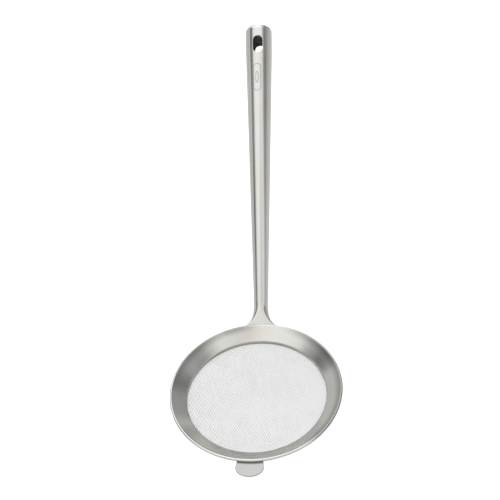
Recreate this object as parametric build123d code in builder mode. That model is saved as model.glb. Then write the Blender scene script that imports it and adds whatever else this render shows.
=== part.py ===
"""Long-handled fine-mesh strainer: shallow pressed rim, clamped wire cloth, hollow tapered handle.

Frame: origin at the centre of the clamp ring's underside, which is the face the bowl rests on.
+Z is up out of the bowl, +Y runs from the bowl towards the handle, X is to the side.
All sizes are in millimetres.
"""

from build123d import *

import os
from math import asin, atan2, cos, degrees, exp, hypot, pi, radians, sin, tan

# --- Bowl -----------------------------------------------------------------------------
rim_diameter = 120.0        # over the rolled bead
bead_diameter = 2.0         # outside of the rolled edge
bead_roll = 262.0           # degrees the sheet is rolled round
bowl_sheet = 0.7
mesh_opening = 97.4         # clear diameter inside the collar
wall_rise = 6.9             # from the top of the collar to the top of the bead
collar_height = 1.8
collar_bend = 1.2           # bend radius between collar and wall, on the inside of the bowl

# --- Wire cloth and its clamp ring ----------------------------------------------------
cloth_wire = 0.25
cloth_sag = 0.35
clamp_sheet = 0.6
clamp_lip = 0.2             # how far the clamp ring's inner edge stays back from the opening
clamp_bend_gap = 0.17       # from the clamp ring's upper edge to the bend above it
clamp_edge_round = 0.25

# --- Handle ---------------------------------------------------------------------------
handle_angle = 38.0         # degrees above the rim plane
handle_length = 243.7       # along the axis, from the rim's edge to the tip of the cap
handle_wall = 0.8
neck_radius = 5.3
grip_radius = 10.5
neck_station = 18.0         # stations are measured along the axis from the rim's edge
grip_length = 21.7          # from the end of the taper to the tip of the cap

# --- Flattened foot of the handle -----------------------------------------------------
foot_thickness = 2.8
foot_flare = 13.0           # growth of the half width, extrapolated to the rim's edge
foot_flare_length = 4.2     # the flare falls off to a third over this length
foot_cover = 0.25           # the top of the foot lies this far above the centre of the bead
foot_sections = 10
edge_roundness = 0.495      # corner radius of a section, as a share of its thickness
tongue_spare = 3.0          # extra height, cut back to the underside of the wall
tongue_length = 6.8         # runs on under the bowl's wall
tongue_corner = 4.0

# --- Hanging slot ---------------------------------------------------------------------
slot_length = 13.8
slot_width = 7.6
slot_to_tip = 12.2          # from the slot's upper end to the tip of the cap

# --- End cap --------------------------------------------------------------------------
cap_corner = 3.7
cap_dome = 1.8
cap_sheet = 0.8
cap_spigot = 4.0
cap_clearance = 0.05

# --- Front lug ------------------------------------------------------------------------
lug_reach = 10.7            # beyond the rim's edge
lug_width = 18.2
lug_root_width = 17.2
lug_sheet = 1.2
lug_rise = 6.0              # degrees above the rim plane
lug_tail = 4.0              # welded under the wall, measured outwards from the bowl's axis
lug_bead_gap = 0.15         # below the bead
lug_bend = 0.6              # bend radius on the underside
lug_nose = 6.8              # length of the elliptical nose

# --- Worked out from the above --------------------------------------------------------
cloth_thickness = 2 * cloth_wire
rim_radius = rim_diameter / 2
bead_radius = bead_diameter / 2
collar_radius = mesh_opening / 2
collar_bottom = clamp_sheet + cloth_thickness
wall_foot = collar_bottom + collar_height
rim_top = wall_foot + wall_rise
bead_centre_r = rim_radius - bead_radius
bead_centre_z = rim_top - bead_radius

run = bead_centre_r - collar_radius
climb = bead_centre_z - wall_foot
wall_angle = atan2(climb, run) + asin(bead_radius / hypot(run, climb))


def wall_underside(r):
    """Height of the underside of the conical wall at the distance r from the bowl's axis."""
    return wall_foot + (r - collar_radius) * tan(wall_angle) - bowl_sheet / cos(wall_angle)


# --- Rim frame: collar, conical wall and rolled bead pressed from one sheet ------------
collar_outer = collar_radius + bowl_sheet
outer_bend = collar_bend - bowl_sheet
bore_radius = bead_radius - bowl_sheet


def on_roll(radius, angle):
    """A point on the rolled edge at this radius, with the angle in radians from level."""
    return bead_centre_r + radius * cos(angle), bead_centre_z + radius * sin(angle)


with BuildPart() as rim_frame:
    with BuildSketch(Plane.XZ):
        with BuildLine():
            roll_start = wall_angle + pi / 2
            roll_end = roll_start - radians(bead_roll)
            FilletPolyline(
                (collar_radius, collar_bottom),
                (collar_radius, wall_foot),
                on_roll(bead_radius, roll_start),
                radius=collar_bend,
            )
            CenterArc((bead_centre_r, bead_centre_z), bead_radius, degrees(roll_start), -bead_roll)
            Line(on_roll(bead_radius, roll_end), on_roll(bore_radius, roll_end))
            CenterArc((bead_centre_r, bead_centre_z), bore_radius, degrees(roll_end), bead_roll)
            FilletPolyline(
                on_roll(bore_radius, roll_start),
                (collar_outer, wall_underside(collar_outer)),
                (collar_outer, collar_bottom),
                radius=outer_bend,
            )
            Line((collar_outer, collar_bottom), (collar_radius, collar_bottom))
        make_face()
    revolve(axis=Axis.Z)
rim_frame.part.label = "rim_frame"

# --- Wire cloth: a closed disc as thick as the two layers of wire, held by its edge -----
with BuildPart() as mesh_cloth:
    with BuildSketch(Plane.XZ):
        with BuildLine():
            level = (1, 0)
            TangentArc((0, collar_bottom - cloth_sag), (collar_radius, collar_bottom), tangent=level)
            Polyline(
                (collar_radius, collar_bottom),
                (collar_outer, collar_bottom),
                (collar_outer, clamp_sheet),
                (collar_radius, clamp_sheet),
            )
            TangentArc((0, clamp_sheet - cloth_sag), (collar_radius, clamp_sheet), tangent=level)
            Line((0, clamp_sheet - cloth_sag), (0, collar_bottom - cloth_sag))
        make_face()
    revolve(axis=Axis.Z)
mesh_cloth.part.label = "mesh_cloth"

# --- Clamp ring: an L-section pressed onto the collar from below, under the cloth -------
clamp_inner = collar_radius + clamp_lip
clamp_outer = collar_outer + clamp_sheet
bend_start = wall_underside(collar_outer) - outer_bend * tan((pi / 2 - wall_angle) / 2)
clamp_top = bend_start - clamp_bend_gap

with BuildPart() as mesh_clamp_ring:
    with BuildSketch(Plane.XZ):
        with BuildLine():
            Polyline(
                (clamp_inner, 0),
                (clamp_outer, 0),
                (clamp_outer, clamp_top),
                (collar_outer, clamp_top),
                (collar_outer, clamp_sheet),
                (clamp_inner, clamp_sheet),
                close=True,
            )
        make_face()
    revolve(axis=Axis.Z)
    outside = mesh_clamp_ring.edges().filter_by(GeomType.CIRCLE).group_by(SortBy.RADIUS)[-1]
    fillet(outside, clamp_edge_round)
mesh_clamp_ring.part.label = "mesh_clamp_ring"

# --- Section of the space that the rim takes up; foot and lug are cut to fit under it ---
above_rim = 10.0

with BuildSketch(Plane.XZ) as rim_space:
    with BuildLine():
        Polyline(
            (collar_radius, wall_underside(collar_radius)),
            (bead_centre_r, wall_underside(bead_centre_r)),
            (bead_centre_r, rim_top + above_rim),
            (collar_radius, rim_top + above_rim),
            close=True,
        )
    make_face()
    with Locations((bead_centre_r, bead_centre_z)):
        Circle(bead_radius)

# --- Handle tube: neck, taper and grip turned about the handle's axis, foot flattened ---
tilt = radians(handle_angle)
axis_drop = bead_radius + (neck_radius - foot_cover - bead_radius * sin(tilt)) / cos(tilt)
foot_end = (axis_drop - bead_radius) * sin(tilt) - bead_radius * (cos(tilt) + 1)
handle_side = Plane(
    origin=(0, rim_radius, rim_top - axis_drop),
    x_dir=(0, cos(tilt), sin(tilt)),
    z_dir=(1, 0, 0),
)
handle_axis = Axis(handle_side.origin, handle_side.x_dir)
grip_station = handle_length - grip_length
tube_end = handle_length - cap_corner - cap_dome
bore_end_radius = grip_radius - handle_wall
slot_centre = handle_length - slot_to_tip - slot_length / 2
foot_top = neck_radius


def across_handle(station, height):
    """The plane across the handle at this station, centred at this height over its axis."""
    centre = handle_side.from_local_coords((station, height, 0))
    return Plane(origin=centre, x_dir=(1, 0, 0), z_dir=handle_side.x_dir)


def foot_shape(station):
    """Half width and thickness of the flattened foot, which is round where it meets the neck."""
    flare = foot_flare * (exp(-station / foot_flare_length) - exp(-neck_station / foot_flare_length))
    rise = (station - foot_end) / (neck_station - foot_end)
    roundness = 3 * rise**2 - 2 * rise**3
    thickness = foot_thickness + (2 * neck_radius - foot_thickness) * roundness
    return neck_radius + flare, thickness


with BuildPart() as handle_tube:
    for step in range(foot_sections + 1):
        station = foot_end + (neck_station - foot_end) * step / foot_sections
        half_width, thickness = foot_shape(station)
        with BuildSketch(across_handle(station, foot_top - thickness / 2)):
            RectangleRounded(2 * half_width, thickness, edge_roundness * thickness)
    loft()
    with BuildSketch(handle_side):
        with BuildLine():
            Polyline(
                (neck_station, 0),
                (neck_station, neck_radius),
                (grip_station, grip_radius),
                (tube_end, grip_radius),
                (tube_end, 0),
                close=True,
            )
        make_face()
    revolve(axis=handle_axis)
    foot_width = 2 * foot_shape(foot_end)[0]
    tongue_height = foot_thickness + tongue_spare
    with BuildSketch(across_handle(foot_end, foot_top - foot_thickness + tongue_height / 2)):
        Rectangle(foot_width - foot_thickness, tongue_height)
    extrude(amount=-tongue_length)
    tongue_end = handle_tube.faces().sort_by(handle_axis)[0]
    upright = Axis(handle_side.origin, handle_side.y_dir)
    fillet(tongue_end.edges().filter_by(upright), tongue_corner)
    revolve(rim_space.sketch, axis=Axis.Z, mode=Mode.SUBTRACT)
    with BuildSketch(handle_side):
        with BuildLine():
            Polyline(
                (neck_station, 0),
                (neck_station, neck_radius - handle_wall),
                (grip_station, bore_end_radius),
                (tube_end, bore_end_radius),
                (tube_end, 0),
                close=True,
            )
        make_face()
    revolve(axis=handle_axis, mode=Mode.SUBTRACT)
    slot_plane = Plane(
        origin=handle_side.from_local_coords((slot_centre, 0, 0)),
        x_dir=handle_side.x_dir,
        z_dir=handle_side.y_dir,
    )
    with BuildSketch(slot_plane):
        SlotOverall(slot_length, slot_width)
    extrude(amount=2 * grip_radius, both=True, mode=Mode.SUBTRACT)
handle_tube.part.label = "handle_tube"

# --- End cap: a drawn dome with a spigot inside the tube, welded and ground flush -------
spigot_radius = bore_end_radius - cap_clearance
spigot_bore = spigot_radius - cap_sheet
inner_corner = cap_corner - cap_sheet

with BuildPart() as handle_end_cap:
    with BuildSketch(handle_side):
        with BuildLine():
            outer_shoulder = (tube_end + cap_corner, grip_radius - cap_corner)
            inner_shoulder = (tube_end + inner_corner, spigot_bore - inner_corner)
            inner_tip = (handle_length - cap_sheet, 0)
            Line((handle_length, 0), inner_tip)
            TangentArc(inner_tip, inner_shoulder, tangent=(0, 1))
            RadiusArc(inner_shoulder, (tube_end, spigot_bore), inner_corner)
            Polyline(
                (tube_end, spigot_bore),
                (tube_end - cap_spigot, spigot_bore),
                (tube_end - cap_spigot, spigot_radius),
                (tube_end, spigot_radius),
                (tube_end, grip_radius),
            )
            RadiusArc((tube_end, grip_radius), outer_shoulder, cap_corner)
            TangentArc((handle_length, 0), outer_shoulder, tangent=(0, 1))
        make_face()
    revolve(axis=handle_axis)
handle_end_cap.part.label = "handle_end_cap"

# --- Front lug: a bent tongue welded under the wall opposite the handle -----------------
lug_angle = radians(lug_rise)
lug_mean = (wall_angle + lug_angle) / 2
lug_tip = rim_radius + lug_reach
bead_to_lug = (bead_radius + lug_bead_gap) / cos(lug_angle)
bead_to_wall = bead_centre_z - wall_underside(bead_centre_r)
knee_r = bead_centre_r - (bead_to_lug - bead_to_wall) / (tan(wall_angle) - tan(lug_angle))
knee_z = wall_underside(knee_r)
tail_r = knee_r - lug_tail


def below(point, slope, distance):
    """The point this far below a line of this slope that passes through the given point."""
    return point[0] + distance * sin(slope), point[1] - distance * cos(slope)


with BuildPart() as front_rest_lug:
    with BuildSketch(Plane.XZ):
        with BuildLine():
            tail = (tail_r, wall_underside(tail_r))
            knee = (knee_r, knee_z)
            tip = (lug_tip, knee_z + (lug_tip - knee_r) * tan(lug_angle))
            tail_under = below(tail, wall_angle, lug_sheet)
            knee_under = below(knee, lug_mean, lug_sheet / cos(wall_angle - lug_mean))
            tip_under = below(tip, lug_angle, lug_sheet)
            FilletPolyline(tail, knee, tip, radius=lug_bend + lug_sheet)
            Line(tip, tip_under)
            FilletPolyline(tip_under, knee_under, tail_under, radius=lug_bend)
            Line(tail_under, tail)
        make_face()
    revolve(axis=Axis.Z)
    with BuildSketch():
        with BuildLine():
            nose_y = lug_nose - lug_tip
            EllipticalCenterArc((0, nose_y), lug_width / 2, lug_nose, 180, arc_size=180)
            Polyline(
                (lug_width / 2, nose_y),
                (lug_root_width / 2, -rim_radius),
                (lug_root_width / 2, -collar_radius),
                (-lug_root_width / 2, -collar_radius),
                (-lug_root_width / 2, -rim_radius),
                (-lug_width / 2, nose_y),
            )
        make_face()
    extrude(amount=rim_top + above_rim, mode=Mode.INTERSECT)
front_rest_lug.part.label = "front_rest_lug"

os.makedirs("parts", exist_ok=True)
for piece in (rim_frame, mesh_cloth, mesh_clamp_ring, handle_tube, handle_end_cap, front_rest_lug):
    export_step(piece.part, f"parts/{piece.part.label}.step")
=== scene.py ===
"""Looks of the long-handled fine-mesh strainer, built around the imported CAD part.

Lengths in the mesh code are in millimetres, in the CAD frame, and become metres in make_piece().
"""
from math import asin, atan2, cos, exp, hypot, pi, radians, sin, sqrt, tan

import bmesh
import bpy
import numpy as np
from mathutils import Matrix, Vector

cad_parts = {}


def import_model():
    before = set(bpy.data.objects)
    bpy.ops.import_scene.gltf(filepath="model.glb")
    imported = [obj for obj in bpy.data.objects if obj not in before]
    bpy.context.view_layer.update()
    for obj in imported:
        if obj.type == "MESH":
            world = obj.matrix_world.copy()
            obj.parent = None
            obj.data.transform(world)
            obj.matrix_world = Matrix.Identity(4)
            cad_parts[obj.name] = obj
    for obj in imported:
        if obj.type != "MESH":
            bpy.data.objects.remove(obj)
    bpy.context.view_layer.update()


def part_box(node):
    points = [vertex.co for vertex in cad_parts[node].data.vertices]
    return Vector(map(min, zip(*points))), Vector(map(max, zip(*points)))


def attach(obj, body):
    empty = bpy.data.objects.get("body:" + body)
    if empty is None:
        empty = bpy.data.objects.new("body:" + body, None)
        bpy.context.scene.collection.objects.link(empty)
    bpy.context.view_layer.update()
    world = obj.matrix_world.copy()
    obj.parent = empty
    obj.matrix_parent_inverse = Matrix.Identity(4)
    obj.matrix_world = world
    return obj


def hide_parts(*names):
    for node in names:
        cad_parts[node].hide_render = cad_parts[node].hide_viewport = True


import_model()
MM = 0.001                          # metres in a millimetre


def box_mm(node):
    low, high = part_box(node)
    return np.array(low) / MM, np.array(high) / MM


rim_low, rim_high = box_mm("rim_frame")
ring_top = box_mm("mesh_clamp_ring")[1][2]

# --- Sizes, in millimetres, as in the CAD part -------------------------------------------
RIM_R = rim_high[1]
RIM_TOP = rim_high[2]
COLLAR_BOTTOM = rim_low[2]
BEAD_R = 1.0
BEAD_ROLL = radians(262)
SHEET = 0.7
COLLAR_R = 48.7
COLLAR_HEIGHT = 1.8
COLLAR_BEND = 1.2
CLAMP_SHEET = 0.6
CLAMP_LIP = 0.2                     # from the opening back to the clamp ring's inner edge
CLOTH_SAG = 0.35

HANDLE_TILT = radians(38)
FOOT_COVER = 0.25
NECK_S, NECK_R = 18.0, 5.3
GRIP_S, GRIP_R = 222.0, 10.5
TUBE_WALL = 0.8
TIP_S = 243.7
CAP_CORNER, CAP_RISE, CAP_SHEET = 3.7, 1.8, 0.8
SPIGOT_LENGTH, SPIGOT_GAP = 4.0, 0.05
TUBE_END = TIP_S - CAP_CORNER - CAP_RISE
SLOT_TO_TIP, SLOT_LONG, SLOT_WIDE = 12.2, 13.8, 7.6
SLOT_MID = TIP_S - SLOT_TO_TIP - SLOT_LONG / 2
SLOT_BREAK = 0.3                    # rounding of the slot's edge
WINDOW_MARGIN = 2.0                 # of finer mesh round the slot, at each end
FOOT_T, FOOT_FLARE, FOOT_FLARE_LEN = 2.8, 13.0, 4.2
TONGUE_SPARE, TONGUE_LEN, TONGUE_CORNER = 3.0, 6.8, 4.0

LUG_TIP = -box_mm("front_rest_lug")[0][1]
LUG_W, LUG_ROOT_W, LUG_T, LUG_NOSE = 18.2, 17.2, 1.2, 6.8
LUG_RISE = radians(6)
LUG_TAIL, LUG_GAP, LUG_BEND = 4.0, 0.15, 0.6
LUG_EDGE = 0.3                      # edge rounding

bead_cr = RIM_R - BEAD_R
bead_cz = RIM_TOP - BEAD_R
wall_foot = COLLAR_BOTTOM + COLLAR_HEIGHT
wall_run, wall_climb = bead_cr - COLLAR_R, bead_cz - wall_foot
WALL = atan2(wall_climb, wall_run) + asin(BEAD_R / hypot(wall_run, wall_climb))
HANDLE_DROP = BEAD_R + (NECK_R - FOOT_COVER - BEAD_R * sin(HANDLE_TILT)) / cos(HANDLE_TILT)
FOOT_END = (HANDLE_DROP - BEAD_R) * sin(HANDLE_TILT) - BEAD_R * (cos(HANDLE_TILT) + 1)


def wall_under(r):
    """Height of the wall's underside at a radius."""
    return wall_foot + (r - COLLAR_R) * tan(WALL) - SHEET / cos(WALL)


# --- Mesh helpers -------------------------------------------------------------------------
def arc(centre, radius, start, turn, count):
    """Points of an arc that begins at the angle start and goes on through the angle turn."""
    a = start + turn * np.linspace(0, 1, count)
    return np.stack([centre[0] + radius * np.cos(a), centre[1] + radius * np.sin(a)], 1)


def rounded(points, radii, count=8):
    """A polyline with its inner corners rounded by arcs."""
    out = [np.array(points[0], float)[None]]
    for i in range(1, len(points) - 1):
        a, b, c = (np.array(points[k], float) for k in (i - 1, i, i + 1))
        u, v = (a - b) / np.linalg.norm(a - b), (c - b) / np.linalg.norm(c - b)
        r = radii[i - 1]
        if r <= 0:
            out.append(b[None])
            continue
        half = 0.5 * np.arccos(np.clip(u @ v, -1, 1))
        back = r / np.tan(half)
        centre = b + (u + v) / np.linalg.norm(u + v) * (r / np.sin(half))
        p, q = b + u * back - centre, b + v * back - centre
        a0, a1 = np.arctan2(p[1], p[0]), np.arctan2(q[1], q[0])
        turn = (a1 - a0 + pi) % (2 * pi) - pi
        out.append(arc(centre, r, a0, turn, count))
    out.append(np.array(points[-1], float)[None])
    return np.concatenate(out)


def spaced(path, step):
    """Extra points along the straight runs of a path, no further apart than step."""
    out = [path[0]]
    for a, b in zip(path[:-1], path[1:]):
        n = max(1, int(np.ceil(np.linalg.norm(b - a) / step)))
        out += [a + (b - a) * k / n for k in range(1, n + 1)]
    return np.array(out)


def grid_faces(rows, cols, wrap_rows=False, wrap_cols=True, skip=None, start=0):
    """Four-sided faces of a grid of points, row by row. skip(i, j) is true where one is left out."""
    i, j = np.meshgrid(np.arange(rows if wrap_rows else rows - 1),
                       np.arange(cols if wrap_cols else cols - 1), indexing="ij")
    if skip is not None:
        keep = ~skip(i, j)
        i, j = i[keep], j[keep]
    i, j = i.ravel(), j.ravel()
    i2, j2 = (i + 1) % rows, (j + 1) % cols
    return np.stack([i * cols + j, i * cols + j2, i2 * cols + j2, i2 * cols + j], 1) + start


def make_piece(name, points, faces, material, stands_for, extra=None, mend=False, sharp=40):
    """A mesh object that rides on the one rigid body. extra holds named point attributes."""
    mesh = bpy.data.meshes.new(name)
    mesh.from_pydata((np.asarray(points) * MM).tolist(), [], [list(f) for f in faces])
    for key, values in (extra or {}).items():
        values = np.asarray(values, np.float32)
        kind = "FLOAT_VECTOR" if values.ndim == 2 else "FLOAT"
        layer = mesh.attributes.new(key, kind, "POINT")
        layer.data.foreach_set("vector" if values.ndim == 2 else "value", values.ravel())
    if mend:
        work = bmesh.new()
        work.from_mesh(mesh)
        bmesh.ops.remove_doubles(work, verts=work.verts, dist=1e-7)
        bmesh.ops.dissolve_degenerate(work, edges=work.edges, dist=1e-8)
        bmesh.ops.recalc_face_normals(work, faces=work.faces)
        work.to_mesh(mesh)
        work.free()
    mesh.shade_smooth()
    mesh.set_sharp_from_angle(angle=radians(sharp))
    mesh.materials.append(material)
    thing = bpy.data.objects.new(name, mesh)
    bpy.context.scene.collection.objects.link(thing)
    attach(thing, "root")
    if stands_for:
        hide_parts(stands_for)
    return thing


def lathe(profile, segments):
    """A closed profile of (radius, height) turned about Z, with coordinates for the turned grain."""
    a = 2 * pi * np.arange(segments) / segments
    r, z = profile[:, 0], profile[:, 1]
    points = np.stack([np.outer(r, np.cos(a)), np.outer(r, np.sin(a)),
                       np.repeat(z[:, None], segments, 1)], 2).reshape(-1, 3)
    steps = np.linalg.norm(np.diff(profile, axis=0), axis=1)
    length = np.concatenate([[0], np.cumsum(steps)])
    grain = points.copy()
    grain[:, 2] = np.repeat(length, segments)
    return points, grid_faces(len(profile), segments, wrap_rows=True), grain


# --- Materials ----------------------------------------------------------------------------
class Nodes:
    """Short-hand for building a node tree."""

    def __init__(self, tree):
        self.tree = tree

    def add(self, kind, inputs=None, **settings):
        made = self.tree.nodes.new(kind)
        for key, value in settings.items():
            setattr(made, key, value)
        for key, value in (inputs or {}).items():
            if isinstance(value, bpy.types.NodeSocket):
                self.tree.links.new(value, made.inputs[key])
            else:
                made.inputs[key].default_value = value
        return made

    def math(self, operation, a, b=None, c=None):
        inputs = {k: v for k, v in enumerate((a, b, c)) if v is not None}
        return self.add("ShaderNodeMath", inputs, operation=operation).outputs[0]

    def vector(self, operation, a, b=None, scale=None):
        inputs = {0: a}
        if b is not None:
            inputs[1] = b
        if scale is not None:
            inputs["Scale"] = scale
        made = self.add("ShaderNodeVectorMath", inputs, operation=operation)
        return made.outputs["Value" if operation in ("DOT_PRODUCT", "LENGTH", "DISTANCE") else "Vector"]

    def ramp(self, value, low, high, to_low=0.0, to_high=1.0, smooth=True):
        inputs = {"Value": value, "From Min": low, "From Max": high, "To Min": to_low, "To Max": to_high}
        kind = "SMOOTHSTEP" if smooth else "LINEAR"
        return self.add("ShaderNodeMapRange", inputs, interpolation_type=kind).outputs["Result"]

    def noise(self, vector, scale, detail=3.0, roughness=0.55):
        return self.add("ShaderNodeTexNoise", {"Vector": vector, "Scale": scale, "Detail": detail,
                                               "Roughness": roughness}).outputs["Fac"]

    def mix(self, factor, a, b):
        """A colour between a and b; these are the numbers of the node's colour sockets."""
        return self.add("ShaderNodeMix", {0: factor, 6: a, 7: b}, data_type="RGBA").outputs[2]


WARM = (0.665, 0.655, 0.610, 1)
COOL = (0.670, 0.675, 0.660, 1)
PAINTED_REFLECTION_STRAW = (0.62, 0.53, 0.40, 1)       # painted darker reflection by the handle's foot, in a straw colour
DULL = (0.5, 0.49, 0.47, 1)         # small dull spots
UNPOLISHED = (0.50, 0.49, 0.48, 1)  # inside of the handle
WIPED = (0.60, 0.56, 0.48, 1)
# painted light on the near side of the rim's wall
PAINTED_LIGHT_NEAR_WALL = (0.97, 0.95, 0.90, 1)
# painted light on the foot of the collar
PAINTED_LIGHT_COLLAR = (0.96, 0.95, 0.93, 1)
# painted highlight on the lowest part of the handle's foot
PAINTED_HIGHLIGHT_FOOT = (0.93, 0.92, 0.90, 1)
# painted reflection: grey band on the wall by the bead
PAINTED_REFLECTION_BAND = (0.30, 0.295, 0.28, 1)
ETCHED = (0.26, 0.26, 0.26, 1)
BUMP_DEPTH = 0.0002                 # metres


def steel(name, warm=WARM, cool=COOL, roughness=0.22, across=0.3, along=30.0, streak=0.05,
          anisotropic=0.0, radial=False, marks=None):
    """Brushed stainless steel.

    The grain attribute is in mm. The brushing runs across its third part on turned pieces and along
    it on the others; across and along are the sizes of a streak. The raw attribute is 1 where the
    steel is left unpolished. marks() may change colour, roughness and height.
    """
    material = bpy.data.materials.new(name)
    material.use_nodes = True
    tree = material.node_tree
    tree.nodes.clear()
    n = Nodes(tree)
    place = n.add("ShaderNodeTexCoord").outputs["Object"]
    grain = n.add("ShaderNodeAttribute", attribute_name="grain").outputs["Vector"]
    squeeze = (1 / along, 1 / along, 1 / across) if radial else (1 / across, 1 / across, 1 / along)
    streaks_at = n.vector("MULTIPLY", grain, squeeze)
    fine = n.noise(streaks_at, 1.0, 3.0)
    coarse = n.noise(streaks_at, 0.31, 2.0)
    clouds = n.noise(place, 38.0, 2.0)
    spots = n.noise(place, 260.0, 3.0)
    streaks = n.math("ADD", n.math("MULTIPLY", fine, 0.6), n.math("MULTIPLY", coarse, 0.4))
    tone = n.math("ADD", n.math("MULTIPLY", clouds, 0.75), n.math("MULTIPLY", streaks, 0.25))
    colour = n.mix(n.ramp(tone, 0.36, 0.64), warm, cool)
    colour = n.mix(n.ramp(spots, 0.62, 0.78, 0.0, 0.25), colour, DULL)
    rough = n.math("ADD", n.ramp(streaks, 0.3, 0.7, roughness * 0.86, roughness * 1.16, False),
                   n.ramp(clouds, 0.3, 0.7, -0.02, 0.02, False))
    height = streaks
    if marks:
        colour, rough, height = marks(n, place, grain, colour, rough, height)
    raw = n.add("ShaderNodeAttribute", attribute_name="raw").outputs["Fac"]
    colour = n.mix(raw, colour, UNPOLISHED)
    rough = n.math("ADD", rough, n.math("MULTIPLY", raw, 0.3))
    bump = n.add("ShaderNodeBump", {"Strength": streak, "Distance": BUMP_DEPTH, "Height": height})
    shader = n.add("ShaderNodeBsdfPrincipled", {"Base Color": colour, "Roughness": rough, "Metallic": 1.0,
                                                "Normal": bump.outputs["Normal"], "Anisotropic": anisotropic})
    if radial:
        tangent = n.add("ShaderNodeTangent", direction_type="RADIAL", axis="Z")
        tree.links.new(tangent.outputs["Tangent"], shader.inputs["Tangent"])
    out = n.add("ShaderNodeOutputMaterial")
    tree.links.new(shader.outputs["BSDF"], out.inputs["Surface"])
    return material


def rim_marks(n, place, grain, colour, rough, height):
    """Painted reflections and painted light on the rim, with wiping marks: a darker straw-coloured painted
    reflection by the handle's foot, painted light on the near side of the wall and on the collar's foot, and
    a painted grey reflection band by the bead.

    The distances are in metres from the bowl's centre.
    """
    side, ahead, up = n.add("ShaderNodeSeparateXYZ", {0: place}).outputs
    radius = n.vector("LENGTH", n.vector("MULTIPLY", place, (1, 1, 0)))

    # painted reflection: a darker, straw-coloured patch by the handle's foot, clouded by noise, at most 0.3
    # strong and none on the bead
    from_painted_reflection_spot = n.vector("DISTANCE", place, (-0.006, 0.058, 0.007))
    cloudy = n.ramp(n.noise(place, 160.0), 0.35, 0.65)
    tint = n.math("MULTIPLY", n.ramp(from_painted_reflection_spot, 0.004, 0.022, 1.0, 0.0), cloudy)
    not_bead = n.ramp(radius, 0.0570, 0.0585, 0.30, 0.0)
    colour = n.mix(n.math("MULTIPLY", tint, not_bead), colour, PAINTED_REFLECTION_STRAW)

    wipes = n.noise(n.vector("MULTIPLY", place, (60.0, 60.0, 420.0)), 1.0, 2.0)
    colour = n.mix(n.ramp(wipes, 0.60, 0.72, 0.0, 0.22), colour, WIPED)

    # painted light: the near side of the wall, under the bead, is made paler
    near = n.ramp(ahead, -0.055, -0.020, 1.0, 0.0)
    pale = n.math("MULTIPLY", near, n.ramp(radius, 0.0574, 0.0582, 1.0, 0.0))
    colour = n.mix(pale, colour, PAINTED_LIGHT_NEAR_WALL)

    # painted reflection: a grey band on the wall's outer part by the bead, on the flanks towards the far and
    # right sides, and in a streak by the handle's foot
    band = n.ramp(radius, 0.0535, 0.0583)
    toward_right = n.math("MULTIPLY", n.math("MAXIMUM", side, 0.0), 1.5)
    far_or_right = n.ramp(n.math("ADD", ahead, toward_right), 0.0, 0.030)
    flanks = n.math("MULTIPLY", n.ramp(n.math("ABSOLUTE", side), 0.012, 0.035), far_or_right)
    squeezed = n.vector("MULTIPLY", place, (0.5, 1.0, 0))
    by_foot = n.ramp(n.vector("DISTANCE", squeezed, (-0.011, 0.0555, 0)), 0.003, 0.012, 1.0, 0.0)
    painted_reflection_strength = n.math("MAXIMUM", n.math("MULTIPLY", flanks, 0.68), n.math("MULTIPLY", by_foot, 0.75))
    colour = n.mix(n.math("MULTIPLY", band, painted_reflection_strength), colour, PAINTED_REFLECTION_BAND)

    # painted light: the foot of the collar is made paler
    collar = n.ramp(up, (COLLAR_BOTTOM + 1.2) * MM, (COLLAR_BOTTOM + 2.2) * MM, 1.0, 0.0)
    colour = n.mix(collar, colour, PAINTED_LIGHT_COLLAR)
    return colour, rough, height


MARK_STATION, MARK_SIDE = 197.0, -0.7
CAPSULE_HALF, CAPSULE_R = 8.0, 3.0  # half of its straight part, and the radius of its ends
LEAF_SHIFT, LEAF_R = 6.7, 8.2       # the leaf is what two circles share
RIB_HALF = 4.0
LINE_CORE, LINE_EDGE = 0.14, 0.30   # half widths of the etched line


def handle_marks(n, place, grain, colour, rough, height):
    """A plain laser-etched capsule with a leaf in it, on the front of the handle, and a painted highlight on
    the lowest part of the foot.
    """
    across, up, station = n.add("ShaderNodeSeparateXYZ", {0: grain}).outputs
    px = n.math("SUBTRACT", across, MARK_SIDE)
    ps = n.math("SUBTRACT", station, MARK_STATION)
    along = n.math("ABSOLUTE", ps)

    beyond = n.math("MAXIMUM", n.math("SUBTRACT", along, CAPSULE_HALF), 0.0)
    from_core = n.vector("LENGTH", n.add("ShaderNodeCombineXYZ", {"X": px, "Y": beyond}).outputs[0])
    capsule = n.math("ABSOLUTE", n.math("SUBTRACT", from_core, CAPSULE_R))
    spot = n.add("ShaderNodeCombineXYZ", {"X": px, "Y": ps}).outputs[0]
    left = n.vector("DISTANCE", spot, (-LEAF_SHIFT, 0, 0))
    right = n.vector("DISTANCE", spot, (LEAF_SHIFT, 0, 0))
    leaf = n.math("ABSOLUTE", n.math("SUBTRACT", n.math("MAXIMUM", left, right), LEAF_R))
    rib = n.math("MAXIMUM", n.math("ABSOLUTE", px), n.math("SUBTRACT", along, RIB_HALF))
    finer_leaf, finer_rib = n.math("ADD", leaf, 0.04), n.math("ADD", rib, 0.08)
    line = n.math("MINIMUM", n.math("MINIMUM", capsule, finer_leaf), finer_rib)
    on_front = n.math("GREATER_THAN", up, 0.0)
    etched = n.math("MULTIPLY", n.ramp(line, LINE_CORE, LINE_EDGE, 1.0, 0.0), on_front)

    # painted highlight: the lowest part of the handle's foot is made paler
    colour = n.mix(n.ramp(station, 1.5, 4.0, 1.0, 0.0), colour, PAINTED_HIGHLIGHT_FOOT)
    colour = n.mix(n.math("MULTIPLY", etched, 0.9), colour, ETCHED)
    rough = n.math("ADD", rough, n.math("MULTIPLY", etched, 0.25))
    height = n.math("SUBTRACT", height, n.math("MULTIPLY", etched, 0.8))
    return colour, rough, height


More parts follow.
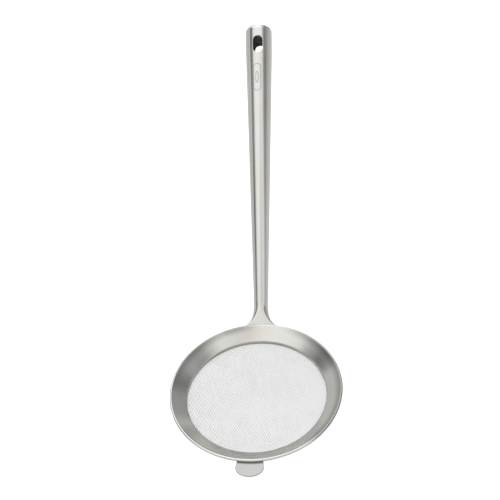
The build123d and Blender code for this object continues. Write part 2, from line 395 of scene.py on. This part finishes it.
rim_steel = steel("turned_satin_steel", roughness=0.19, across=0.28, along=22.0, streak=0.06,
                  anisotropic=0.2, radial=True, marks=rim_marks)
clamp_steel = steel("clamp_steel", roughness=0.30, across=0.25, along=22.0, streak=0.10, radial=True)
wire_steel = steel("wire_steel", (0.50, 0.50, 0.50, 1), (0.56, 0.56, 0.565, 1), roughness=0.26,
                   across=0.6, along=6.0, streak=0.05)
handle_steel = steel("brushed_handle_steel", roughness=0.15, across=0.32, along=38.0, streak=0.05,
                     marks=handle_marks)
cap_steel = steel("polished_cap_steel", (0.74, 0.735, 0.71, 1), (0.76, 0.76, 0.75, 1), roughness=0.06,
                  across=0.5, along=14.0, streak=0.02)
# painted shade: the lug's steel is given a darker colour than the rest of the steel
shaded_lug_steel = steel("pressed_lug_steel", (0.455, 0.45, 0.43, 1), (0.48, 0.48, 0.465, 1), roughness=0.24,
                  across=0.5, along=14.0, streak=0.02)

# --- Rim: collar, conical wall and rolled bead ---------------------------------------------
RIM_SEGMENTS = 320
WALL_STEP, UNDER_STEP = 0.6, 1.0    # between the profile's points
collar_out = COLLAR_R + SHEET
roll_start = WALL + pi / 2
roll_end = roll_start - BEAD_ROLL
bore_r = BEAD_R - SHEET


def on_roll(radius, angle):
    """A profile point round the centre of the bead."""
    return bead_cr + radius * cos(angle), bead_cz + radius * sin(angle)


inside = rounded([(COLLAR_R, COLLAR_BOTTOM), (COLLAR_R, wall_foot), on_roll(BEAD_R, roll_start)],
                 [COLLAR_BEND], 12)
inside = np.concatenate([spaced(inside[:-1], WALL_STEP), spaced(inside[-2:], WALL_STEP)[1:]])
roll = arc((bead_cr, bead_cz), BEAD_R, roll_start, -BEAD_ROLL, 40)[1:]
hollow = arc((bead_cr, bead_cz), bore_r, roll_end, BEAD_ROLL, 22)
outside = rounded([on_roll(bore_r, roll_start), (collar_out, wall_under(collar_out)),
                   (collar_out, COLLAR_BOTTOM)], [COLLAR_BEND - SHEET], 8)
profile = np.concatenate([inside, roll, hollow, spaced(outside, UNDER_STEP)[1:]])
points, faces, grain = lathe(profile, RIM_SEGMENTS)
make_piece("rim_shell", points, faces[:, ::-1], rim_steel, "rim_frame", {"grain": grain})

# --- Clamp ring under the cloth ------------------------------------------------------------
ring_in, ring_out = COLLAR_R + CLAMP_LIP, collar_out + CLAMP_SHEET
RING_SEGMENTS = 256
SEAM = CLAMP_SHEET / 2              # height at which its profile starts and ends
LIP_ROUND, FOOT_ROUND, TOP_ROUND = 0.1, 0.25, 0.12
profile = rounded([(ring_in, SEAM), (ring_in, 0), (ring_out, 0), (ring_out, ring_top), (collar_out, ring_top),
                   (collar_out, CLAMP_SHEET), (ring_in, CLAMP_SHEET), (ring_in, SEAM)],
                  [LIP_ROUND, FOOT_ROUND, TOP_ROUND, 0, 0, LIP_ROUND], 6)[:-1]
points, faces, grain = lathe(profile, RING_SEGMENTS)
make_piece("clamp_ring", points, faces, clamp_steel, "mesh_clamp_ring", {"grain": grain})

# --- Woven wire cloth ----------------------------------------------------------------------
PITCH = 1.03
WIRE_R = 0.125
CLOTH_HELD = 0.6                    # of cloth under the collar, all round
CLOTH_R = COLLAR_R + CLOTH_HELD
CLOTH_MID = CLAMP_SHEET + 2 * WIRE_R
WEAVE_TURN = radians(22)
STEP = PITCH / 3.0                  # along a wire
SIDES, FIRST_SIDE = 5, 0.3          # of a wire
SHORTEST = 2.0                      # half length of the shortest wire
WIRE_GRAIN_STEP = 3.7               # so that neighbouring wires get different streaks
CRIMP = 1.02 * WIRE_R               # of a wire over and under the ones it crosses


def drift(x, y):
    """Slow in-plane wander of the weave, the same for both directions of wire."""
    dx = 0.12 * np.sin(x / 17.0 + 0.6) + 0.09 * np.sin(y / 13.0 + x / 41.0 + 1.1)
    dy = 0.10 * np.sin(y / 19.0 + 2.0) + 0.09 * np.sin(x / 15.0 - y / 37.0 + 0.3)
    return dx, dy


def wires(lengthwise):
    """Points, faces and grain of all the wires that run one way."""
    count = int(CLOTH_R / PITCH)
    all_points, all_faces, all_grain, base = [], [], [], 0
    ring_a = 2 * pi * np.arange(SIDES) / SIDES + FIRST_SIDE
    ca, sa = cos(WEAVE_TURN), sin(WEAVE_TURN)
    for k in range(-count, count + 1):
        offset = k * PITCH
        half = sqrt(max(CLOTH_R**2 - offset**2, 0.0))
        if half < SHORTEST:
            continue
        t = np.linspace(-half, half, int(2 * half / STEP) + 1)
        crimp = CRIMP * np.cos(pi * (t / PITCH - k)) * (1 if lengthwise else -1)
        x, y = (np.full_like(t, offset), t) if lengthwise else (t, np.full_like(t, offset))
        dx, dy = drift(x, y)
        x, y = x + dx, y + dy
        r2 = (x * x + y * y) / COLLAR_R**2
        z = CLOTH_MID - CLOTH_SAG * np.clip(1 - r2, 0, 1) + crimp
        line = np.stack([x * ca - y * sa, x * sa + y * ca, z], 1)
        along = np.gradient(line, axis=0)
        along /= np.linalg.norm(along, axis=1)[:, None]
        side = np.cross(along, [0, 0, 1.0])
        side /= np.linalg.norm(side, axis=1)[:, None]
        up = np.cross(side, along)
        ring = line[:, None] + WIRE_R * (np.cos(ring_a)[None, :, None] * side[:, None]
                                         + np.sin(ring_a)[None, :, None] * up[:, None])
        rows = len(t)
        all_points.append(ring.reshape(-1, 3))
        all_faces.extend(grid_faces(rows, SIDES, start=base).tolist())
        all_faces.append([base + s for s in range(SIDES)][::-1])
        all_faces.append([base + (rows - 1) * SIDES + s for s in range(SIDES)])
        across = np.full(rows * SIDES, k * WIRE_GRAIN_STEP)
        all_grain.append(np.stack([across, np.zeros(rows * SIDES), np.repeat(t, SIDES)], 1))
        base += rows * SIDES
    return np.concatenate(all_points), all_faces, np.concatenate(all_grain)


for lengthwise, name in ((True, "cloth_warp_wires"), (False, "cloth_weft_wires")):
    points, faces, grain = wires(lengthwise)
    make_piece(name, points, faces, wire_steel, "mesh_cloth", {"grain": grain}, sharp=80)

# --- Handle ---------------------------------------------------------------------------------
O = np.array([0, RIM_R, RIM_TOP - HANDLE_DROP])
D = np.array([0, cos(HANDLE_TILT), sin(HANDLE_TILT)])
N = np.array([0, -sin(HANDLE_TILT), cos(HANDLE_TILT)])


def world(x, s, n):
    """Points from handle coordinates: x across, s along from the rim's edge, n up from the axis."""
    x, s, n = np.broadcast_arrays(x, s, n)
    return O + s[..., None] * D + n[..., None] * N + x[..., None] * np.array([1.0, 0, 0])


def radius_at(s):
    """The handle's outer radius from the neck to the cap."""
    return np.interp(s, [NECK_S, GRIP_S, TUBE_END], [NECK_R, GRIP_R, GRIP_R])


def foot_shape(s):
    """Half width and thickness of the flattened foot."""
    flare = FOOT_FLARE * (exp(-s / FOOT_FLARE_LEN) - exp(-NECK_S / FOOT_FLARE_LEN))
    rise = (s - FOOT_END) / (NECK_S - FOOT_END)
    return NECK_R + flare, FOOT_T + (2 * NECK_R - FOOT_T) * (3 * rise**2 - 2 * rise**3)


ROUND = 144                         # points round the handle
NEARLY_HALF = 0.495


def section(half_width, thickness, corner):
    """Evenly spaced points round a rounded rectangle, from the middle of the top towards +x."""
    w, h = half_width - corner, thickness / 2 - corner
    quarter = pi / 2 * corner
    runs = [w, quarter, 2 * h, quarter, 2 * w, quarter, 2 * h, quarter, w]
    ends = np.concatenate([[0], np.cumsum(runs)])
    u = ends[-1] * np.arange(ROUND) / ROUND
    k = np.clip(np.searchsorted(ends, u, side="right") - 1, 0, 8)
    d = u - ends[k]
    a = d / corner
    top, side = thickness / 2, half_width
    x = np.select([k == 0, k == 1, k == 2, k == 3, k == 4, k == 5, k == 6, k == 7],
                  [d, w + corner * np.sin(a), side + 0 * d, w + corner * np.cos(a), w - d,
                   -w - corner * np.sin(a), -side + 0 * d, -w - corner * np.cos(a)], -w + d)
    n = np.select([k == 0, k == 1, k == 2, k == 3, k == 4, k == 5, k == 6, k == 7],
                  [top + 0 * d, h + corner * np.cos(a), h - d, -h - corner * np.sin(a), -top + 0 * d,
                   -h - corner * np.cos(a), -h + d, h + corner * np.sin(a)], top + 0 * d)
    return x, n


def in_rim(x, s, n):
    """Whether points are in the rim's bead or above the underside of its wall."""
    p = world(x, s, n)
    r, z = np.hypot(p[..., 0], p[..., 1]), p[..., 2]
    wall = (r < bead_cr) & (z > wall_under(r))
    return wall | (np.hypot(r - bead_cr, z - bead_cz) < BEAD_R)


def fit_under_rim(x, s, n, floor_n):
    """Lowers points along n until they are clear of the rim."""
    inside_rim = in_rim(x, s, n)
    low, high = np.full_like(n, floor_n), n.copy()
    for _ in range(30):
        mid = (low + high) / 2
        hit = in_rim(x, s, mid)
        high = np.where(hit, mid, high)
        low = np.where(hit, low, mid)
    return np.where(inside_rim, low, n)


FLARE_S = 7.0                       # the stations are closer together up to here
TONGUE_CLIMB = 1.2                  # in which the tongue reaches its full height
tongue_start = FOOT_END - TONGUE_LEN
win_half = SLOT_LONG / 2 + WINDOW_MARGIN
win_a, win_b = SLOT_MID - win_half, SLOT_MID + win_half
tongue_s = np.concatenate([tongue_start + TONGUE_CORNER * (1 - np.cos(np.linspace(0, pi / 2, 9))),
                           np.linspace(tongue_start + TONGUE_CORNER, FOOT_END, 9)[1:]])
inner_s = np.concatenate([np.linspace(NECK_S, win_a, 50)[:-1], np.linspace(win_a, win_b, 25)[:-1],
                          np.linspace(win_b, TUBE_END, 5)])
outer_s = np.concatenate([tongue_s[:-1], np.linspace(FOOT_END, FLARE_S, 22)[:-1],
                          np.linspace(FLARE_S, NECK_S, 17)[:-1], inner_s])
turns = 2 * pi * np.arange(ROUND) / ROUND
cols_x, cols_n = [], []
for s in outer_s:
    if s >= NECK_S:
        cols_x.append(radius_at(s) * np.sin(turns))
        cols_n.append(radius_at(s) * np.cos(turns))
        continue
    at = max(s, FOOT_END)
    half_width, thickness = foot_shape(at)
    top = NECK_R
    if s < FOOT_END:
        half_width -= (FOOT_END - s) / TONGUE_LEN * FOOT_T / 2
        into = TONGUE_CORNER - (s - tongue_start)
        if into > 0:
            half_width -= TONGUE_CORNER - sqrt(max(TONGUE_CORNER**2 - into**2, 0.0))
        top += TONGUE_SPARE * min(1.0, (FOOT_END - s) / TONGUE_CLIMB)
        thickness += top - NECK_R
    round_over = min(thickness, FOOT_T) if s < FOOT_END else thickness
    x, n = section(half_width, thickness, NEARLY_HALF * round_over)
    cols_x.append(x)
    cols_n.append(fit_under_rim(x, np.full_like(x, s), n + top - thickness / 2, NECK_R - FOOT_T))
outer_x, outer_n = np.array(cols_x), np.array(cols_n)
S = np.repeat(outer_s[:, None], ROUND, 1)

inner_r = radius_at(inner_s) - TUBE_WALL
inner_x, inner_n = inner_r[:, None] * np.sin(turns), inner_r[:, None] * np.cos(turns)
IS = np.repeat(inner_s[:, None], ROUND, 1)

WIN_COLS = 13                       # columns of the window on each side of its middle
BORE_HUB = 0.02                     # share of the bore's radius that its last small face takes
RAW_DEPTH = 0.3                     # unpolished from this depth, and wholly so at twice that
hx, hs, hn, handle_faces, base = [], [], [], [], 0


def put(x, s, n, faces):
    """Adds one patch of the handle's mesh."""
    global base
    x, s, n = (np.asarray(v, float).ravel() for v in np.broadcast_arrays(x, s, n))
    hx.append(x)
    hs.append(s)
    hn.append(n)
    handle_faces.extend((np.asarray(faces) + base).tolist() if len(faces) else [])
    base += len(x)


def in_window(stations):
    """A test for the faces left out for the windows, and the first and last row of the windows."""
    first, last = (np.searchsorted(stations, s - 1e-6) for s in (win_a, win_b))

    def skip(i, j):
        front = (j < WIN_COLS) | (j >= ROUND - WIN_COLS)
        back = (j >= ROUND // 2 - WIN_COLS) & (j < ROUND // 2 + WIN_COLS)
        return (i >= first) & (i < last) & (front | back)

    return skip, first, last


skip, row_a, row_b = in_window(outer_s)
put(outer_x, S, outer_n, grid_faces(len(outer_s), ROUND, skip=skip))
skip_in, in_a, _ = in_window(inner_s)
put(inner_x, IS, inner_n, grid_faces(len(inner_s), ROUND, skip=skip_in))
# the end face of the tube, the closed end of the bore and the end of the tongue
ends = np.array([radius_at(TUBE_END) * np.sin(turns), inner_x[-1]])
ends_n = np.array([radius_at(TUBE_END) * np.cos(turns), inner_n[-1]])
put(ends, TUBE_END, ends_n, grid_faces(2, ROUND))
hub_x, hub_n = inner_x[0] * BORE_HUB, inner_n[0] * BORE_HUB
put(np.array([inner_x[0], hub_x]), NECK_S, np.array([inner_n[0], hub_n]), grid_faces(2, ROUND))
put(hub_x, NECK_S, hub_n, np.arange(ROUND)[None])
put(outer_x[0], outer_s[0], outer_n[0], np.arange(ROUND)[None])

core = SLOT_LONG / 2 - SLOT_WIDE / 2     # half of the slot's straight part
for facing in (1, -1):
    c0 = 0 if facing > 0 else ROUND // 2
    cols = np.arange(-WIN_COLS, WIN_COLS + 1)
    rows = np.arange(row_a, row_b + 1)
    border = ([(row_a, c) for c in cols[:-1]] + [(r, WIN_COLS) for r in rows[:-1]]
              + [(row_b, c) for c in cols[:0:-1]] + [(r, -WIN_COLS) for r in rows[:0:-1]])
    bi = np.array([b[0] for b in border])
    bj = np.array([(b[1] + c0) % ROUND for b in border])
    ws, wx = outer_s[bi] - SLOT_MID, outer_x[bi, bj]
    vx = inner_x[bi - row_a + in_a, bj]
    mid_s = np.clip(ws, -core, core)
    away = np.stack([ws - mid_s, wx], 1)
    away /= np.linalg.norm(away, axis=1)[:, None]

    def slot_ring(offset, depth, inner=False):
        """The slot's outline, offset outwards, at a depth under the surface or in the bore's wall."""
        s = SLOT_MID + mid_s + (SLOT_WIDE / 2 + offset) * away[:, 0]
        x = (SLOT_WIDE / 2 + offset) * away[:, 1]
        r = radius_at(s) - (TUBE_WALL if inner else 0)
        return x, s, facing * (np.sqrt(r**2 - x**2) - depth)

    def between(t, inner=False):
        """A ring on the surface, t of the way from the window's border to the slot."""
        sx, ss, _ = slot_ring(0 if inner else SLOT_BREAK, 0, inner)
        bx = vx if inner else wx
        x, s = bx + (sx - bx) * t, ws + SLOT_MID + (ss - ws - SLOT_MID) * t
        r = radius_at(s) - (TUBE_WALL if inner else 0)
        return x, s, facing * np.sqrt(r**2 - x**2)

    rings = [(wx, outer_s[bi], outer_n[bi, bj])]
    rings += [between(t) for t in (0.25, 0.5, 0.75, 0.9)]
    rings += [slot_ring(SLOT_BREAK * (1 - sin(a)), SLOT_BREAK * (1 - cos(a)))
              for a in np.linspace(0, pi / 2, 6)]
    rings += [slot_ring(0, 0, True)]
    rings += [between(t, True) for t in (0.7, 0.35)]
    rings += [(vx, inner_s[bi - row_a + in_a], inner_n[bi - row_a + in_a, bj])]
    put(*(np.array([ring[k] for ring in rings]) for k in range(3)), grid_faces(len(rings), len(border)))

hx, hs, hn = np.concatenate(hx), np.concatenate(hs), np.concatenate(hn)
deep = radius_at(hs) - np.hypot(hx, hn)
unpolished = np.clip((deep - RAW_DEPTH) / RAW_DEPTH, 0, 1) * (hs > NECK_S)
make_piece("handle_body", world(hx, hs, hn), handle_faces, handle_steel, "handle_tube",
           {"grain": np.stack([hx, hn, hs], 1), "raw": unpolished}, mend=True, sharp=50)

# --- End cap: dome and spigot turned about the handle's axis ---------------------------------
spigot_r = GRIP_R - TUBE_WALL - SPIGOT_GAP
spigot_end = TUBE_END - SPIGOT_LENGTH
cap_in = spigot_r - CAP_SHEET


DOME_HUB = 0.003                    # angle from the axis at which the mesh of a dome ends


def dome(tip, shoulder_s, shoulder_r, count=14):
    """Points of the shallow arc from the shoulder to the tip on the axis."""
    rise = tip - shoulder_s
    big = (shoulder_r**2 + rise**2) / (2 * rise)
    a = np.linspace(asin(shoulder_r / big), DOME_HUB, count)
    return np.stack([tip - big + big * np.cos(a), big * np.sin(a)], 1)


corner = arc((TUBE_END, GRIP_R - CAP_CORNER), CAP_CORNER, pi / 2, -pi / 2, 18)
outer_dome = dome(TIP_S, TUBE_END + CAP_CORNER, GRIP_R - CAP_CORNER)
inner_corner = CAP_CORNER - CAP_SHEET
inner_dome = dome(TIP_S - CAP_SHEET, TUBE_END + inner_corner, cap_in - inner_corner)[::-1]
inner_turn = arc((TUBE_END, cap_in - inner_corner), inner_corner, 0, pi / 2, 12)
profile = np.concatenate([corner, outer_dome[1:], inner_dome, inner_turn[1:],
                          [(spigot_end, cap_in), (spigot_end, spigot_r), (TUBE_END, spigot_r)]])
s = np.repeat(profile[:, 0][:, None], ROUND, 1)
x = np.outer(profile[:, 1], np.sin(turns))
n = np.outer(profile[:, 1], np.cos(turns))
first_raw = len(corner) + len(outer_dome) - 1
make_piece("end_cap_dome", world(x, s, n).reshape(-1, 3), grid_faces(len(profile), ROUND, wrap_rows=True),
           cap_steel, "handle_end_cap",
           {"grain": np.stack([x.ravel(), n.ravel(), s.ravel()], 1),
            "raw": np.repeat(np.arange(len(profile)) >= first_raw, ROUND)},
           mend=True, sharp=50)

# --- Front lug: bent plate with rounded edges -------------------------------------------------
bead_to_lug = (BEAD_R + LUG_GAP) / cos(LUG_RISE)
bead_to_wall = bead_cz - wall_under(bead_cr)
knee_r = bead_cr - (bead_to_lug - bead_to_wall) / (tan(WALL) - tan(LUG_RISE))
knee_z = wall_under(knee_r)
mean = (WALL + LUG_RISE) / 2
tail_r = knee_r - LUG_TAIL
LINE_SPARE = 2.0                    # of the upper and lower line beyond the tail
before_r = tail_r - LINE_SPARE


def below(point, slope, distance):
    """The point at a distance under a line of this slope."""
    return point[0] + distance * sin(slope), point[1] - distance * cos(slope)


lug_tip_top = (LUG_TIP, knee_z + (LUG_TIP - knee_r) * tan(LUG_RISE))
lug_before = (before_r, wall_under(before_r))
top_line = rounded([lug_before, (knee_r, knee_z), lug_tip_top], [LUG_BEND + LUG_T], 8)
under_line = rounded([below(lug_before, WALL, LUG_T),
                      below((knee_r, knee_z), mean, LUG_T / cos(WALL - mean)),
                      below(lug_tip_top, LUG_RISE, LUG_T)], [LUG_BEND], 8)
under_line = np.concatenate([under_line, [(LUG_TIP + 1, under_line[-1][1] + tan(LUG_RISE))]])


def lug_height(x, y, share):
    """Height at a plan point: share 0 on the upper face, 1 on the lower face."""
    r = np.hypot(x, y)
    top = np.interp(r, top_line[:, 0], top_line[:, 1])
    low = np.interp(r, under_line[:, 0], under_line[:, 1])
    return top + (low - top) * share


# right-hand half of the outline, from the tail to the nose, as (x, distance from the bowl's axis)
nose_from = LUG_TIP - LUG_NOSE
TAIL_STEPS = 6
half_line = [(LUG_ROOT_W / 2 * k / TAIL_STEPS, tail_r) for k in range(TAIL_STEPS + 1)]
half_line += [(LUG_ROOT_W / 2, tail_r + (RIM_R - tail_r) * k / 14) for k in range(1, 15)]
half_line += [(LUG_ROOT_W / 2 + (LUG_W - LUG_ROOT_W) / 2 * k / 8, RIM_R + (nose_from - RIM_R) * k / 8)
              for k in range(1, 9)]
half_line += [(LUG_W / 2 * cos(a), nose_from + LUG_NOSE * sin(a)) for a in np.linspace(0, pi / 2, 33)[1:]]
half_line = np.array(half_line)
on_tail = slice(0, TAIL_STEPS + 1)
half_line[on_tail, 1] = np.sqrt(tail_r**2 - half_line[on_tail, 0]**2)
go = np.gradient(half_line, axis=0)
go /= np.linalg.norm(go, axis=1)[:, None]
inward = np.stack([-go[:, 1], go[:, 0]], 1)
inward[0], inward[-1] = (0, 1), (0, -1)
inward[TAIL_STEPS] = (-0.7071, 0.7071)
side = [(LUG_EDGE * (1 - cos(a)), LUG_EDGE * (1 - sin(a)) / LUG_T) for a in np.linspace(pi / 2, 0, 6)]
side += [(o, 1 - d) for o, d in side[::-1]]
full = np.concatenate([half_line, half_line[-2:0:-1] * [-1, 1]])
full_in = np.concatenate([inward, inward[-2:0:-1] * [-1, 1]])
lug_points, lug_faces = [], []
for offset, share in side:
    plan = full + full_in * offset
    x, y = plan[:, 0], -plan[:, 1]
    lug_points.append(np.stack([x, y, lug_height(x, y, share)], 1))
lug_faces += grid_faces(len(side), len(full)).tolist()
ACROSS = 12                         # faces from the middle of the lug to its side
plan = half_line + inward * LUG_EDGE
t = np.linspace(-1, 1, 2 * ACROSS + 1)
for share in (0.0, 1.0):
    start = sum(len(p) for p in lug_points)
    x = plan[:, 0][:, None] * t
    y = np.repeat(-plan[:, 1][:, None], len(t), 1)
    lug_points.append(np.stack([x, y, lug_height(x, y, share)], 2).reshape(-1, 3))
    lug_faces += grid_faces(len(half_line), len(t), wrap_cols=False, start=start).tolist()
lug_points = np.concatenate(lug_points)
make_piece("lug_plate", lug_points, lug_faces, shaded_lug_steel, "front_rest_lug",
           {"grain": lug_points[:, [0, 2, 1]]}, mend=True, sharp=50)

# --- Floor: pale, and lifted towards white where the camera sees it --------------------------
FLOOR_GREYS = (0.77, 0.77, 0.77, 1), (0.80, 0.80, 0.80, 1)
FLOOR_GLOW = 0.75
FLOOR_REACH, FLOOR_DROP = 3.0, 0.0004   # metres

floor_material = bpy.data.materials.new("pale_floor")
floor_material.use_nodes = True
floor_material.node_tree.nodes.clear()
n = Nodes(floor_material.node_tree)
spot = n.add("ShaderNodeTexCoord").outputs["Object"]
paper = n.mix(n.noise(spot, 6.0), *FLOOR_GREYS)
shader = n.add("ShaderNodeBsdfPrincipled",
               {"Base Color": paper, "Roughness": 0.9, "Specular IOR Level": 0.1})
glow = n.add("ShaderNodeEmission", {"Color": (1, 1, 1, 1), "Strength": FLOOR_GLOW})
seen = n.add("ShaderNodeLightPath").outputs["Is Camera Ray"]
lift = n.add("ShaderNodeMixShader", {0: seen})
n.tree.links.new(glow.outputs[0], lift.inputs[2])
total = n.add("ShaderNodeAddShader")
n.tree.links.new(shader.outputs["BSDF"], total.inputs[0])
n.tree.links.new(lift.outputs[0], total.inputs[1])
out = n.add("ShaderNodeOutputMaterial")
n.tree.links.new(total.outputs[0], out.inputs["Surface"])
floor_mesh = bpy.data.meshes.new("floor")
corners = [(x * FLOOR_REACH, y * FLOOR_REACH, 0) for x, y in ((-1, -1), (1, -1), (1, 1), (-1, 1))]
floor_mesh.from_pydata(corners, [], [(0, 1, 2, 3)])
floor_mesh.materials.append(floor_material)
floor = bpy.data.objects.new("floor", floor_mesh)
floor.location.z = -FLOOR_DROP
bpy.context.scene.collection.objects.link(floor)

# --- Studio light: a bright tent with soft grey flags and walls, plain white to the camera ------
FLOOR_LEVEL_LIGHT, OVERHEAD_LIGHT = 0.56, 1.27
scene_world = bpy.data.worlds.new("studio")
bpy.context.scene.world = scene_world
scene_world.use_nodes = True
scene_world.node_tree.nodes.clear()
n = Nodes(scene_world.node_tree)
look = n.add("ShaderNodeTexCoord").outputs["Generated"]


def toward(azimuth, elevation):
    """Unit vector: azimuth from the front (-Y) towards +X, elevation above the floor."""
    a, e = radians(azimuth), radians(elevation)
    return sin(a) * cos(e), -cos(a) * cos(e), sin(e)


height = n.add("ShaderNodeSeparateXYZ", {0: look}).outputs["Z"]
light = n.ramp(height, 0.0, 1.0, FLOOR_LEVEL_LIGHT, OVERHEAD_LIGHT, False)
for azimuth, elevation, inner, outer, depth in (    # degrees, and what the light is multiplied by
    (-86, 32, 5, 20, 0.34),     # flag, left
    (-105, 33, 4, 13, 0.30),    # and its darker middle
    (-82, 20, 4, 12, 0.50),     # its lower end
    (-124, 20, 6, 18, 0.82),    # and its paler back edge
    (88, 39, 5, 15, 0.50),      # flag, right
    (88, 20, 4, 13, 0.66),      # its lower end
    (80, 53, 3, 12, 0.70),      # its upper end
    (112, 38, 10, 34, 0.48),    # wide grey flag behind it
    (124, 34, 3, 12, 0.60),     # its dark middle
    (136, 37, 5, 11, 0.25),     # and darkest spot
    (154, 10, 12, 34, 0.50),    # grey side wall
    (24, 48, 5, 30, 0.76),      # the camera's side of the tent
    (-165, 60, 14, 22, 1.45),   # bright gap in the back wall
):
    aim = n.vector("DOT_PRODUCT", look, toward(azimuth, elevation))
    light = n.math("MULTIPLY", light, n.ramp(aim, cos(radians(outer)), cos(radians(inner)), 1.0, depth))
tint = n.add("ShaderNodeCombineColor", {"Red": light, "Green": light, "Blue": light}).outputs[0]
studio = n.add("ShaderNodeBackground", {"Color": tint, "Strength": 1.0})
plain = n.add("ShaderNodeBackground", {"Color": (1, 1, 1, 1), "Strength": 1.0})
seen = n.add("ShaderNodeLightPath").outputs["Is Camera Ray"]
both = n.add("ShaderNodeMixShader", {0: seen})
n.tree.links.new(studio.outputs[0], both.inputs[1])
n.tree.links.new(plain.outputs[0], both.inputs[2])
out = n.add("ShaderNodeOutputWorld")
n.tree.links.new(both.outputs[0], out.inputs["Surface"])

# --- Camera ---------------------------------------------------------------------------------
CAMERA_AT = (0.06401, -0.36768, 0.45835)            # metres
CAMERA_FORWARD = (-0.11322, 0.74683, -0.65530)
CAMERA_RIGHT = (0.99326, 0.06675, -0.09472)
camera_data = bpy.data.cameras.new("camera")
camera_data.sensor_width = 36.0
camera_data.lens = 60.0
camera_data.clip_start = 0.01
camera = bpy.data.objects.new("camera", camera_data)
bpy.context.scene.collection.objects.link(camera)
forward = Vector(CAMERA_FORWARD).normalized()
right = Vector(CAMERA_RIGHT)
right = (right - forward * right.dot(forward)).normalized()
upward = right.cross(forward)
camera.matrix_world = Matrix([(*axes, at) for *axes, at in zip(right, upward, -forward, CAMERA_AT)]
                             + [(0, 0, 0, 1)])
bpy.context.scene.camera = camera
bpy.context.scene.view_settings.view_transform = "Standard"
